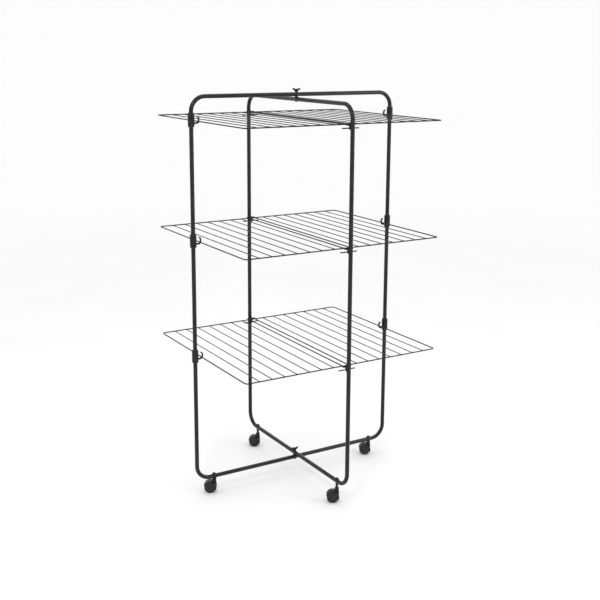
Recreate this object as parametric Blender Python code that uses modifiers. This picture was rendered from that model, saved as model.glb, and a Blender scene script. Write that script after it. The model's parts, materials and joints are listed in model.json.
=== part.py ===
"""Three-tier tower clothes drying rack: two tube loops crossing on a vertical pivot, six hinged half shelves,
hook clips that carry the shelves' outer bars, and four twin-wheel casters. Metres, +Z up, origin on the floor
below the pivot. X runs from hook clip to hook clip, and Y from hinge bracket to hinge bracket."""

from math import cos, pi, radians, sin

import bmesh
import bpy
from mathutils import Matrix, Vector

GAP = 0.0003

# Tube loops. The outer loop lies in the XZ plane and the inner loop in the YZ plane.
TUBE_R = 0.007
TUBE_WALL = 0.0012
CORNER_R = 0.048
OUTER_HALF_WIDTH = 0.3878
OUTER_LOW_Z, OUTER_HIGH_Z = 0.0590, 1.3560
INNER_HALF_WIDTH = 0.3397
INNER_LOW_Z, INNER_HIGH_Z = 0.0750, 1.3395
SPIGOT_R = 0.0053
SPIGOT_LENGTH = 0.030

# Tiers of shelves.
TIER_Z = {"bottom": 0.496, "middle": 0.887, "top": 1.278}
HINGE_X = 0.012
OUTER_BAR_X = 0.3665
END_BAR_Y = 0.3205
AXLE_END_Y = 0.3305
BAR_R = 0.0020
WIRE_R = 0.00125
SHELF_CORNER_R = 0.010
WIRE_COUNT = 7
WIRE_PITCH = 0.0455
FIRST_WIRE_FROM_HINGE = 0.0330

# Hook clips on the outer loop.
CLIP_R = 0.0108
CLIP_BORE_R = TUBE_R + GAP
CLIP_BELOW, CLIP_ABOVE = 0.018, 0.0275
HOOK_WIDTH = 0.008
HOOK_STROKE = 0.0042
HOOK_PLAY = 0.0026

# Hinge brackets on the inner loop.
EYE_R = 0.0038
EYE_BORE_R = BAR_R + GAP
EYE_NEAR_Y, EYE_FAR_Y = 0.3240, 0.3315
STOP_WIRE_HALF = 0.032
STOP_WIRE_Y = 0.3280
STOP_WIRE_DROP = 0.0115

# Pivots at the two crossings.
BOLT_R = 0.003
BOLT_HEAD_R, BOLT_HEAD_H = 0.0055, 0.0018
WING_NUT_H = 0.0135
WING_SPAN = 0.027
TOP_WING_ANGLE, BOTTOM_WING_ANGLE = radians(-31), radians(25)

# Casters.
STEM_R = 0.004
OUTER_STEM_X, INNER_STEM_Y = 0.324, 0.279
COLLAR_R, COLLAR_LOW_Z, COLLAR_HIGH_Z = 0.0070, 0.0485, 0.0514
SOCKET_LOW_Z = 0.0395
NECK_R = 0.0075
WHEEL_R = 0.0198
WHEEL_SIDES = 18
WHEEL_AXLE_Z = WHEEL_R * cos(pi / WHEEL_SIDES)
WHEEL_INNER_Y, WHEEL_WIDTH = 0.0032, 0.0110
TRAIL = 0.014
AXLE_R = 0.0025
WEB_HALF, WEB_R = 0.0028, 0.015
HOOD_IN_R, HOOD_OUT_R, HOOD_HALF = 0.0206, 0.0223, 0.0150
HEADING = radians(-31)

TUBE_SIDES = 12
SMALL_SIDES = 12


def clear_scene():
    for obj in list(bpy.data.objects):
        bpy.data.objects.remove(obj, do_unlink=True)


def make_material(name, colour, roughness, metallic):
    material = bpy.data.materials.new(name)
    material.use_nodes = True
    shader = material.node_tree.nodes["Principled BSDF"]
    shader.inputs["Base Color"].default_value = (*colour, 1.0)
    shader.inputs["Roughness"].default_value = roughness
    shader.inputs["Metallic"].default_value = metallic
    return material


def link(obj):
    RACK.objects.link(obj)
    return obj


def smooth(mesh):
    mesh.shade_smooth()
    mesh.set_sharp_from_angle(angle=radians(35))


def bake(obj):
    """The evaluated mesh of an object in world space, with its caps welded. The object is removed."""
    bpy.context.view_layer.update()
    graph = bpy.context.evaluated_depsgraph_get()
    mesh = bpy.data.meshes.new_from_object(obj.evaluated_get(graph))
    mesh.transform(obj.matrix_world)
    form = bmesh.new()
    form.from_mesh(mesh)
    bmesh.ops.remove_doubles(form, verts=form.verts, dist=1e-6)
    form.to_mesh(mesh)
    form.free()
    bpy.data.objects.remove(obj, do_unlink=True)
    return mesh


def helper(mesh):
    return link(bpy.data.objects.new("helper", mesh))


def boolean(base, other, operation):
    """The mesh of base joined with, or cut by, other."""
    obj, tool = helper(base), helper(other)
    modifier = obj.modifiers.new(operation.lower(), "BOOLEAN")
    modifier.operation = operation
    modifier.solver = "EXACT"
    modifier.object = tool
    result = bake(obj)
    bpy.data.objects.remove(tool, do_unlink=True)
    return result


def together(meshes):
    """One mesh that holds several separate closed bodies."""
    form = bmesh.new()
    for mesh in meshes:
        form.from_mesh(mesh)
    result = bpy.data.meshes.new("bodies")
    form.to_mesh(result)
    form.free()
    return result


def cylinder(radius, low, high, sides=SMALL_SIDES, centre=(0.0, 0.0), axis="Z"):
    """A closed cylinder from low to high along an axis, whose centre gives the other two coordinates in order."""
    form = bmesh.new()
    bmesh.ops.create_cone(
        form, cap_ends=True, segments=sides, radius1=radius, radius2=radius, depth=high - low
    )
    upright = Matrix.Translation((0, 0, (low + high) / 2))
    if axis == "Z":
        place = Matrix.Translation((*centre, 0)) @ upright
    elif axis == "Y":
        place = Matrix.Translation((centre[0], 0, centre[1])) @ Matrix.Rotation(-pi / 2, 4, "X") @ upright
    else:
        place = Matrix.Translation((0, *centre)) @ Matrix.Rotation(pi / 2, 4, "Y") @ upright
    bmesh.ops.transform(form, matrix=place, verts=form.verts)
    mesh = bpy.data.meshes.new("cylinder")
    form.to_mesh(mesh)
    form.free()
    return mesh


def block(low, high):
    form = bmesh.new()
    bmesh.ops.create_cube(form, size=1.0)
    low, high = Vector(low), Vector(high)
    size = high - low
    bmesh.ops.scale(form, vec=size, verts=form.verts)
    bmesh.ops.translate(form, vec=(low + high) / 2, verts=form.verts)
    mesh = bpy.data.meshes.new("block")
    form.to_mesh(mesh)
    form.free()
    return mesh


def wire(points, radius, resolution=2, caps=True, factors=None):
    """A round wire or tube along straight stretches between points."""
    curve = bpy.data.curves.new("wire", "CURVE")
    curve.dimensions = "3D"
    curve.bevel_depth = radius
    curve.bevel_resolution = resolution
    curve.use_fill_caps = caps
    spline = curve.splines.new("POLY")
    spline.points.add(len(points) - 1)
    for index, point in enumerate(points):
        spline.points[index].co = (*point, 1.0)
        spline.points[index].radius = factors[index] if factors else 1.0
    return bake(link(bpy.data.objects.new("wire", curve)))


def turned(profile, steps):
    """A solid of revolution about Z. The profile runs down the outer side, as (radius, height) pairs."""
    form = bmesh.new()
    points = [form.verts.new((radius, 0, height)) for radius, height in profile]
    for start, end in zip(points, points[1:]):
        form.edges.new((start, end))
    mesh = bpy.data.meshes.new("profile")
    form.to_mesh(mesh)
    form.free()
    obj = helper(mesh)
    screw = obj.modifiers.new("turn", "SCREW")
    screw.steps = screw.render_steps = steps
    screw.use_merge_vertices = True
    screw.merge_threshold = 1e-5
    return bake(obj)


def plate(outline, thickness):
    """A flat outline in the XZ plane, made solid along Y about y = 0."""
    curve = bpy.data.curves.new("plate", "CURVE")
    curve.dimensions = "2D"
    curve.fill_mode = "BOTH"
    curve.extrude = thickness / 2
    spline = curve.splines.new("POLY")
    spline.points.add(len(outline) - 1)
    for point, (x, z) in zip(spline.points, outline):
        point.co = (x, z, 0, 1)
    spline.use_cyclic_u = True
    obj = link(bpy.data.objects.new("plate", curve))
    obj.rotation_euler.x = pi / 2
    return bake(obj)


def arc(centre, radius, start, end, steps):
    """Points (x, z) on a circle from one angle to another, in degrees."""
    angles = [radians(start + (end - start) * step / steps) for step in range(steps + 1)]
    return [(centre[0] + radius * cos(angle), centre[1] + radius * sin(angle)) for angle in angles]


def stroke(path, width):
    """The outline of a path (x, z) drawn with a square-ended pen."""
    left, right = [], []
    for index, point in enumerate(path):
        before = Vector(path[max(index - 1, 0)])
        after = Vector(path[min(index + 1, len(path) - 1)])
        along = (after - before).normalized()
        side = Vector((-along.y, along.x)) * width / 2
        left.append(tuple(Vector(point) + side))
        right.append(tuple(Vector(point) - side))
    return left + right[::-1]


def part(name, mesh, material, parent=None, matrix=None):
    obj = link(bpy.data.objects.new(name, mesh))
    if not mesh.materials:
        mesh.materials.append(material)
        smooth(mesh)
    if matrix:
        obj.matrix_world = matrix
    if parent:
        obj.parent = parent
        obj.matrix_parent_inverse = parent.matrix_world.inverted()
    return obj


def pivot(name, matrix, parent=None):
    """An empty on a joint's axis."""
    empty = link(bpy.data.objects.new(name, None))
    empty.empty_display_size = 0.03
    empty.matrix_world = matrix
    bpy.context.view_layer.update()
    if parent:
        empty.parent = parent
        empty.matrix_parent_inverse = parent.matrix_world.inverted()
        bpy.context.view_layer.update()
    return empty


def half_loop(half_width, base_z, end_z, bend=4):
    """Points (across, z) of a U of tube from one free end to the other, with round corners at base_z."""
    up = 1 if end_z > base_z else -1
    corner_z = base_z + up * CORNER_R
    inset = half_width - CORNER_R
    right = arc((inset, corner_z), CORNER_R, 0, -90 * up, bend)
    left = arc((-inset, corner_z), CORNER_R, -90 * up, -180 * up, bend)
    return [(half_width, end_z)] + right + left + [(-half_width, end_z)]


def frame_tube(half_width, base_z, joint_z, in_x, swaged, drills):
    """Half of a loop: a hollow U of tube. The lower half has necked ends that plug into the upper half."""
    flat = half_loop(half_width, base_z, joint_z)
    factors = [1.0] * len(flat)
    if swaged:
        neck = SPIGOT_R / TUBE_R
        ends = [(half_width, joint_z + SPIGOT_LENGTH), (half_width, joint_z - GAP)]
        shoulder = (half_width, joint_z - TUBE_WALL)
        flat = ends + [shoulder] + flat[1:-1] + [(-x, z) for x, z in [shoulder] + ends[::-1]]
        factors = [neck, neck] + [1.0] * (len(flat) - 4) + [neck, neck]
    points = [(across, 0, z) if in_x else (0, across, z) for across, z in flat]
    shell = helper(wire(points, TUBE_R, resolution=4, caps=False, factors=factors))
    wall = shell.modifiers.new("wall", "SOLIDIFY")
    wall.thickness = TUBE_WALL
    wall.offset = -1
    wall.use_rim = True
    return boolean(bake(shell), together(drills), "DIFFERENCE")


def drill(radius, across, in_x, z):
    centre = (across, 0) if in_x else (0, across)
    return cylinder(radius, z - 0.02, z + 0.02, centre=centre)


def build_frame(name, half_width, low_z, high_z, in_x, stem_at, parent):
    joint_z = TIER_Z["middle"]
    bolt_hole = BOLT_R + GAP
    upper = frame_tube(half_width, high_z, joint_z, in_x, False, [drill(bolt_hole, 0, in_x, high_z)])
    drills = [drill(bolt_hole, 0, in_x, low_z)]
    drills += [drill(STEM_R + GAP, side * stem_at, in_x, low_z) for side in (-1, 1)]
    lower = frame_tube(half_width, low_z, joint_z, in_x, True, drills)
    part(f"{name}_upper_tube", upper, COATED_STEEL, parent)
    part(f"{name}_lower_tube", lower, COATED_STEEL, parent)


def shelf_mesh():
    """A half shelf about its hinge axis: a bent U of bar, an axle bar across its ends, and thin wires between."""
    reach = OUTER_BAR_X - HINGE_X
    inset_x, inset_y = reach - SHELF_CORNER_R, END_BAR_Y - SHELF_CORNER_R
    far_corner = arc((inset_x, inset_y), SHELF_CORNER_R, 90, 0, 3)
    bent = [(0, END_BAR_Y)] + far_corner
    bent += [(x, -y) for x, y in reversed(bent)]
    frame = wire([(x, y, 0) for x, y in bent], BAR_R)
    axle = wire([(0, -AXLE_END_Y, 0), (0, AXLE_END_Y, 0)], BAR_R)
    cross = [axle]
    for index in range(WIRE_COUNT):
        x = FIRST_WIRE_FROM_HINGE + index * WIRE_PITCH
        cross.append(wire([(x, -END_BAR_Y, 0), (x, END_BAR_Y, 0)], WIRE_R, resolution=1))
    return boolean(frame, together(cross), "UNION")


def hook_clip_mesh():
    """A moulded sleeve about the tube, with a hook on its +X side that curls up round a shelf's outer bar."""
    chamfer = 0.004
    slope = TUBE_R + 0.0012
    profile = [
        (CLIP_BORE_R, CLIP_ABOVE),
        (slope, CLIP_ABOVE),
        (CLIP_R, CLIP_ABOVE - chamfer),
        (CLIP_R, chamfer - CLIP_BELOW),
        (slope, -CLIP_BELOW),
        (CLIP_BORE_R, -CLIP_BELOW),
        (CLIP_BORE_R, CLIP_ABOVE),
    ]
    sleeve = turned(profile, TUBE_SIDES + 2)
    bowl_r = 0.0075
    bar_x = OUTER_HALF_WIDTH - OUTER_BAR_X
    wall_x = bar_x + BAR_R + HOOK_PLAY + HOOK_STROKE / 2
    bowl_centre = (wall_x - bowl_r, 0.0024)
    tip_r = 0.0062
    path = [(0.0090, -0.0048)]
    path += arc(bowl_centre, bowl_r, -100, 0, 5)
    path += arc((wall_x - tip_r, 0.0105), tip_r, 0, 110, 5)
    hook = plate(stroke(path, HOOK_STROKE), HOOK_WIDTH)
    return boolean(sleeve, hook, "UNION")


def bracket_mesh():
    """A saddle on the inner side of the tube, which is on -Y here, with an eye each side for the shelves' axles."""
    tube_y = INNER_HALF_WIDTH
    near, far = EYE_NEAR_Y - tube_y, EYE_FAR_Y - tube_y
    eyes = [cylinder(EYE_R, near, far, centre=(side * HINGE_X, 0), axis="Y") for side in (-1, 1)]
    web = block((-HINGE_X, near, -0.0027), (HINGE_X, far, 0.0027))
    spine = block((-0.0048, near + 0.0006, -0.0165), (0.0048, -0.0040, 0.0056))
    body = boolean(web, together(eyes), "UNION")
    body = boolean(body, spine, "UNION")
    bores = [
        cylinder(EYE_BORE_R, near - 0.002, far + 0.002, centre=(side * HINGE_X, 0), axis="Y", sides=10)
        for side in (-1, 1)
    ]
    stop_bore = cylinder(
        BAR_R + GAP, -0.01, 0.01, sides=8, centre=(STOP_WIRE_Y - tube_y, -STOP_WIRE_DROP), axis="X"
    )
    tube_seat = cylinder(TUBE_R + GAP, -0.03, 0.03, sides=16)
    return boolean(body, together(bores + [stop_bore, tube_seat]), "DIFFERENCE")


def stop_wire_mesh():
    return wire([(-STOP_WIRE_HALF, 0, 0), (STOP_WIRE_HALF, 0, 0)], BAR_R)


def bolt_mesh(head_top, tip):
    """A pivot bolt: a domed head whose flat top is at head_top, and a shank that ends at tip."""
    low = head_top - BOLT_HEAD_H
    profile = [(0, tip), (BOLT_R, tip), (BOLT_R, head_top), (BOLT_HEAD_R, head_top)]
    profile += [(BOLT_HEAD_R * 0.82, low + 0.0008), (BOLT_HEAD_R * 0.45, low), (0, low)]
    return turned(profile, SMALL_SIDES)


def wing_nut_mesh():
    """A wing nut standing on z = 0: a tapered boss with two wings that rise outwards."""
    boss_low_r, boss_high_r, boss_h = 0.0056, 0.0042, 0.0105
    bore = BOLT_R + GAP
    profile = [(bore, boss_h), (boss_high_r, boss_h), (boss_low_r, 0), (bore, 0), (bore, boss_h)]
    boss = turned(profile, SMALL_SIDES)
    half = WING_SPAN / 2
    lobe_r = 0.0028
    lobe = (half - lobe_r, WING_NUT_H - lobe_r)
    outline = [(bore + 0.0004, 0.0022), (0.0062, 0.0034)]
    outline += arc(lobe, lobe_r, -50, 100, 4)
    outline += [(0.0062, 0.0112), (bore + 0.0004, 0.0098)]
    wing = plate(outline, 0.0022)
    other = wing.copy()
    other.transform(Matrix.Rotation(pi, 4, "Z"))
    return boolean(boss, together([wing, other]), "UNION")


def spacer_mesh(thickness):
    inner, outer = BOLT_R + GAP, 0.0065
    half = thickness / 2
    return turned([(inner, half), (outer, half), (outer, -half), (inner, -half), (inner, half)], SMALL_SIDES)


def build_pivot(name, tube_below_z, tube_above_z, wing_angle):
    """A bolt up through both tubes, a spacer between them and a wing nut on top."""
    head_top = tube_below_z - TUBE_R - GAP
    seat = tube_above_z + TUBE_R + GAP
    part(f"{name}_pivot_bolt", bolt_mesh(head_top, seat + WING_NUT_H * 0.85), ZINC_STEEL)
    spacing = tube_above_z - tube_below_z - 2 * (TUBE_R + GAP)
    middle = Matrix.Translation((0, 0, (tube_below_z + tube_above_z) / 2))
    part(f"{name}_pivot_spacer", spacer_mesh(spacing), BLACK_PLASTIC, matrix=middle)
    on_top = Matrix.Translation((0, 0, seat)) @ Matrix.Rotation(wing_angle, 4, "Z")
    part(f"{name}_wing_nut", wing_nut_mesh(), BLACK_PLASTIC, matrix=on_top)


def stem_mesh(tube_z):
    """A caster stem on its own axis, from the pintle in the caster to the threaded end above the tube."""
    tip = tube_z + TUBE_R + 0.0030
    pintle = SOCKET_LOW_Z + GAP
    profile = [(0, tip), (STEM_R, tip), (STEM_R, COLLAR_HIGH_Z), (COLLAR_R, COLLAR_HIGH_Z)]
    profile += [(COLLAR_R, COLLAR_LOW_Z), (STEM_R, COLLAR_LOW_Z), (STEM_R, pintle), (0, pintle)]
    return turned(profile, SMALL_SIDES)


def stem_cap_mesh():
    """A cap over the stem's end, on a saddle that sits on the top half of the tube. The tube lies along X."""
    saddle = cylinder(TUBE_R + 0.0016, -0.0065, 0.0065, sides=16, axis="X")
    dome = turned([(0, 0.0128), (0.0028, 0.0124), (0.0050, 0.0106), (0.0054, 0.0040), (0, 0.0040)], SMALL_SIDES)
    body = boolean(saddle, dome, "UNION")
    lower_half = block((-0.02, -0.02, -0.02), (0.02, 0.02, -0.0008))
    tube = cylinder(TUBE_R + GAP, -0.02, 0.02, sides=16, axis="X")
    body = boolean(body, lower_half, "DIFFERENCE")
    body = boolean(body, tube, "DIFFERENCE")
    bore = cylinder(STEM_R + GAP, 0, TUBE_R + 0.0030 + GAP)
    return boolean(body, bore, "DIFFERENCE")


def caster_housing_mesh():
    """The forked hood of a twin-wheel caster about its swivel axis. Its wheels trail towards -X."""
    hub = (-TRAIL, WHEEL_AXLE_Z)
    outline = arc(hub, HOOD_OUT_R, -20, 160, 12) + arc(hub, WEB_R, 160, 340, 8)
    neck = cylinder(NECK_R, hub[1] + 0.004, COLLAR_LOW_Z - GAP)
    body = boolean(plate(outline, 2 * HOOD_HALF), neck, "UNION")
    wells = [
        cylinder(HOOD_IN_R, low, high, sides=18, centre=hub, axis="Y")
        for low, high in ((WEB_HALF, HOOD_HALF + 0.01), (-HOOD_HALF - 0.01, -WEB_HALF))
    ]
    axle_hole = cylinder(AXLE_R + GAP, -0.002 - WEB_HALF, WEB_HALF + 0.002, sides=10, centre=hub, axis="Y")
    socket = cylinder(STEM_R + GAP, SOCKET_LOW_Z, COLLAR_LOW_Z + 0.002)
    body = boolean(body, together(wells), "DIFFERENCE")
    return boolean(body, together([axle_hole, socket]), "DIFFERENCE")


def wheel_mesh():
    """One wheel about its own centre, turning about Y, with a blind bore on its inner face."""
    near = WHEEL_INNER_Y
    far = near + WHEEL_WIDTH
    bore = AXLE_R + GAP
    profile = [
        (0, far - 0.0010),
        (0.0120, far - 0.0004),
        (0.0175, far),
        (WHEEL_R, far - 0.0024),
        (WHEEL_R, near + 0.0012),
        (WHEEL_R - 0.0012, near),
        (bore, near),
        (bore, far - 0.0030),
        (0, far - 0.0030),
    ]
    mesh = turned(profile, WHEEL_SIDES)
    mesh.transform(Matrix.Rotation(-pi / 2, 4, "X"))
    return mesh


def build_caster(side, x, y, tube_z, frame_pivot, meshes):
    across_tube = 0 if y == 0 else pi / 2
    part(f"caster_stem_{side}", stem_mesh(tube_z), ZINC_STEEL, frame_pivot, Matrix.Translation((x, y, 0)))
    cap_place = Matrix.Translation((x, y, tube_z)) @ Matrix.Rotation(across_tube, 4, "Z")
    part(f"stem_cap_{side}", meshes["cap"], BLACK_PLASTIC, frame_pivot, cap_place)
    swivel = pivot(
        f"swivel_axis_{side}", Matrix.Translation((x, y, 0)) @ Matrix.Rotation(HEADING, 4, "Z"), frame_pivot
    )
    here = swivel.matrix_world.copy()
    hub = here @ Matrix.Translation((-TRAIL, 0, WHEEL_AXLE_Z))
    part(f"caster_housing_{side}", meshes["housing"], BLACK_PLASTIC, swivel, here)
    part(f"wheel_axle_{side}", meshes["axle"], ZINC_STEEL, swivel, hub)
    part(f"caster_wheel_a_{side}", meshes["wheel"], WHEEL_PLASTIC, swivel, hub)
    part(f"caster_wheel_b_{side}", meshes["wheel"], WHEEL_PLASTIC, swivel, hub @ Matrix.Rotation(pi, 4, "Z"))


clear_scene()
RACK = bpy.data.collections.new("clothes_drying_rack")
bpy.context.scene.collection.children.link(RACK)
COATED_STEEL = make_material("coated_steel", (0.022, 0.022, 0.024), 0.38, 0.0)
ZINC_STEEL = make_material("zinc_steel", (0.05, 0.05, 0.052), 0.35, 0.8)
BLACK_PLASTIC = make_material("black_plastic", (0.018, 0.018, 0.019), 0.48, 0.0)
WHEEL_PLASTIC = make_material("wheel_plastic", (0.024, 0.024, 0.025), 0.55, 0.0)

fold_pivot = pivot("fold_axis", Matrix.Identity(4))
build_frame("inner_frame", INNER_HALF_WIDTH, INNER_LOW_Z, INNER_HIGH_Z, False, INNER_STEM_Y, None)
build_frame("outer_frame", OUTER_HALF_WIDTH, OUTER_LOW_Z, OUTER_HIGH_Z, True, OUTER_STEM_X, fold_pivot)
build_pivot("top", INNER_HIGH_Z, OUTER_HIGH_Z, TOP_WING_ANGLE)
build_pivot("bottom", OUTER_LOW_Z, INNER_LOW_Z, BOTTOM_WING_ANGLE)

clip, bracket, stop_wire, shelf = hook_clip_mesh(), bracket_mesh(), stop_wire_mesh(), shelf_mesh()
for tier, tier_z in TIER_Z.items():
    for side, sign in (("right", 1), ("left", -1)):
        half_turn = Matrix.Rotation(0 if sign > 0 else pi, 4, "Z")
        hinge = Matrix.Translation((sign * HINGE_X, 0, tier_z)) @ half_turn
        part(f"shelf_{tier}_{side}", shelf, COATED_STEEL, matrix=hinge)
        on_tube = Matrix.Translation((sign * OUTER_HALF_WIDTH, 0, tier_z)) @ half_turn @ Matrix.Rotation(pi, 4, "Z")
        part(f"hook_clip_{tier}_{side}", clip, BLACK_PLASTIC, fold_pivot, on_tube)
    for side, sign in (("back", 1), ("front", -1)):
        half_turn = Matrix.Rotation(0 if sign > 0 else pi, 4, "Z")
        on_tube = Matrix.Translation((0, sign * INNER_HALF_WIDTH, tier_z)) @ half_turn
        part(f"hinge_bracket_{tier}_{side}", bracket, BLACK_PLASTIC, matrix=on_tube)
        stop_place = Matrix.Translation((0, sign * STOP_WIRE_Y, tier_z - STOP_WIRE_DROP))
        part(f"stop_wire_{tier}_{side}", stop_wire, COATED_STEEL, matrix=stop_place)

axle_half = WHEEL_INNER_Y + WHEEL_WIDTH - 0.0030 - GAP
caster_meshes = {
    "cap": stem_cap_mesh(),
    "housing": caster_housing_mesh(),
    "axle": cylinder(AXLE_R, -axle_half, axle_half, sides=10, axis="Y"),
    "wheel": wheel_mesh(),
}
build_caster("left", -OUTER_STEM_X, 0, OUTER_LOW_Z, fold_pivot, caster_meshes)
build_caster("right", OUTER_STEM_X, 0, OUTER_LOW_Z, fold_pivot, caster_meshes)
build_caster("front", 0, -INNER_STEM_Y, INNER_LOW_Z, None, caster_meshes)
build_caster("back", 0, INNER_STEM_Y, INNER_LOW_Z, None, caster_meshes)
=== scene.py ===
import json
from math import cos, pi, radians, sin

import bpy
import numpy as np
from mathutils import Matrix, Vector


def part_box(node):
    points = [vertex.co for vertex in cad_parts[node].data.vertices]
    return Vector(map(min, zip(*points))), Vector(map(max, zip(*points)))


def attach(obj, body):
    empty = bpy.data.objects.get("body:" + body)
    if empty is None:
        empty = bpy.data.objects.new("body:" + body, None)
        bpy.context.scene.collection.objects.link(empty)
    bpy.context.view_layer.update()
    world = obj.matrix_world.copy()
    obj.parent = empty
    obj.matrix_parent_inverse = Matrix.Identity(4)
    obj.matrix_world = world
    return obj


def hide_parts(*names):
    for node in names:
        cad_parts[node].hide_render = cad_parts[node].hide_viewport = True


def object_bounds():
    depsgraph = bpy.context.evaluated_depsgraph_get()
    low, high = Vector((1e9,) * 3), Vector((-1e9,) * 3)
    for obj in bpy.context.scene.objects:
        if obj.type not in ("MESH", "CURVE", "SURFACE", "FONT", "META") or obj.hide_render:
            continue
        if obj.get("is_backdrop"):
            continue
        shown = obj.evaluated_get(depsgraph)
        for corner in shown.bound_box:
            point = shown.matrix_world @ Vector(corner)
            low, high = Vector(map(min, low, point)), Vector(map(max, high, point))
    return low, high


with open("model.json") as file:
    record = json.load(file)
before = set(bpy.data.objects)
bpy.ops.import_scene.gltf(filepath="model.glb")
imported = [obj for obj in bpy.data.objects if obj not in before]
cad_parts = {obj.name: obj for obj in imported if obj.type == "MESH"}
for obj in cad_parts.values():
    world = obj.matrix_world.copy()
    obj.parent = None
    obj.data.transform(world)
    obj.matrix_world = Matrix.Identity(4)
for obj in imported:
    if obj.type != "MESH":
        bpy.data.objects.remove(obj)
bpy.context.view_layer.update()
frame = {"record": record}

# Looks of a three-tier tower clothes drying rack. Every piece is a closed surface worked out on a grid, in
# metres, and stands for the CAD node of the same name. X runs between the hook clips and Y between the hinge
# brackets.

TAU = 2 * pi
HAIR = 0.00015

# Sizes that the nodes' boxes don't give.
CORNER_R = 0.048
END_BAR_Y = 0.3205
WIRE_R = 0.0015
WIRE_COUNT, WIRE_PITCH, FIRST_WIRE = 7, 0.0455, 0.0330
SHELF_CORNER_R = 0.010
SLEEVE_R = 0.0108
EYE_R, EYE_FAR_Y = 0.0038, 0.3315
BOLT_R, BOLT_HEAD_R, BOLT_HEAD_H = 0.003, 0.0055, 0.0018
STEM_R, COLLAR_R = 0.0044, 0.0074
NECK_R = 0.0075
WHEEL_R, WHEEL_NEAR, WHEEL_FAR = 0.0198, 0.0032, 0.0142
TRAIL = 0.014
HOOD_IN_R, HOOD_OUT_R, HOOD_HALF = 0.0206, 0.0223, 0.0149
HEADING = radians(-31)
WING_ANGLE = {"top": radians(-31), "bottom": radians(-5)}

TIERS, SIDES, ENDS = ("bottom", "middle", "top"), ("left", "right"), ("front", "back")
SIGN = {"left": -1, "right": 1, "front": -1, "back": 1}
BODY_OF = {node: body for body, nodes in frame["record"]["behaviour"]["bodies"].items() for node in nodes}


def node_box(node):
    low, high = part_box(node)
    return np.array(low), np.array(high)


# ---------------------------------------------------------------- surfaces on grids


def solid(points, along=None, wear=None, ring=False):
    """A closed form from a grid of points (rows, columns, xyz). The columns close round. On a ring the rows
    close round too, and otherwise each end row is closed by a fan to its middle. along is a length for
    every row, and the grain that a finish follows is (along, r cos a, r sin a), where a goes once round the
    columns."""
    rows, columns = points.shape[:2]
    index = np.arange(rows * columns).reshape(rows, columns)
    lower = index if ring else index[:-1]
    upper = np.roll(index, -1, 0) if ring else index[1:]
    quads = np.stack([lower, np.roll(lower, -1, 1), np.roll(upper, -1, 1), upper], -1).reshape(-1, 4)
    if along is None:
        steps = np.linalg.norm(np.diff(points[:, 0], axis=0), axis=1)
        along = np.concatenate([[0.0], np.cumsum(steps)])
    turn = np.arange(columns) * TAU / columns
    radius = np.linalg.norm(points - points.mean(1, keepdims=True), axis=2)
    grain = np.stack([np.broadcast_to(np.asarray(along)[:, None], radius.shape), radius * np.cos(turn),
                      radius * np.sin(turn)], -1)
    wear = np.zeros(rows) if wear is None else np.asarray(wear, float)
    wear = np.broadcast_to(wear[:, None] if wear.ndim == 1 else wear, (rows, columns))
    vertices, grain, wear = points.reshape(-1, 3), grain.reshape(-1, 3), wear.reshape(-1)
    triangles = np.zeros((0, 3), int)
    if not ring:
        count = rows * columns
        first, last = index[0], index[-1]
        triangles = np.concatenate([
            np.stack([np.roll(first, -1), first, np.full(columns, count)], -1),
            np.stack([last, np.roll(last, -1), np.full(columns, count + 1)], -1),
        ])
        ends = points[[0, -1]].mean(1)
        vertices = np.concatenate([vertices, ends])
        grain = np.concatenate([grain, np.stack([np.asarray(along)[[0, -1]], [0, 0], [0, 0]], -1)])
        wear = np.concatenate([wear, wear[[0, -1]]])
    flat = vertices[quads]
    volume = np.einsum("ij,ij->i", flat[:, 0], np.cross(flat[:, 1], flat[:, 2])).sum()
    volume += np.einsum("ij,ij->i", flat[:, 0], np.cross(flat[:, 2], flat[:, 3])).sum()
    fans = vertices[triangles]
    volume += np.einsum("ij,ij->i", fans[:, 0], np.cross(fans[:, 1], fans[:, 2])).sum()
    if volume < 0:
        quads, triangles = quads[:, ::-1], triangles[:, ::-1]
    return {"vertices": vertices, "quads": quads, "triangles": triangles, "grain": grain, "wear": wear}


def moved(form, matrix):
    """The form with every point p at matrix p. The matrix holds turns and shifts only."""
    matrix = np.array(matrix)
    return {**form, "vertices": form["vertices"] @ matrix[:3, :3].T + matrix[:3, 3]}


def merged(forms):
    """One form that holds several, each with its own closed surface."""
    starts = np.cumsum([0] + [len(form["vertices"]) for form in forms[:-1]])
    return {
        "vertices": np.concatenate([form["vertices"] for form in forms]),
        "grain": np.concatenate([form["grain"] for form in forms]),
        "wear": np.concatenate([form["wear"] for form in forms]),
        "quads": np.concatenate([form["quads"] + start for form, start in zip(forms, starts)]),
        "triangles": np.concatenate([form["triangles"] + start for form, start in zip(forms, starts)]),
    }


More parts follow.
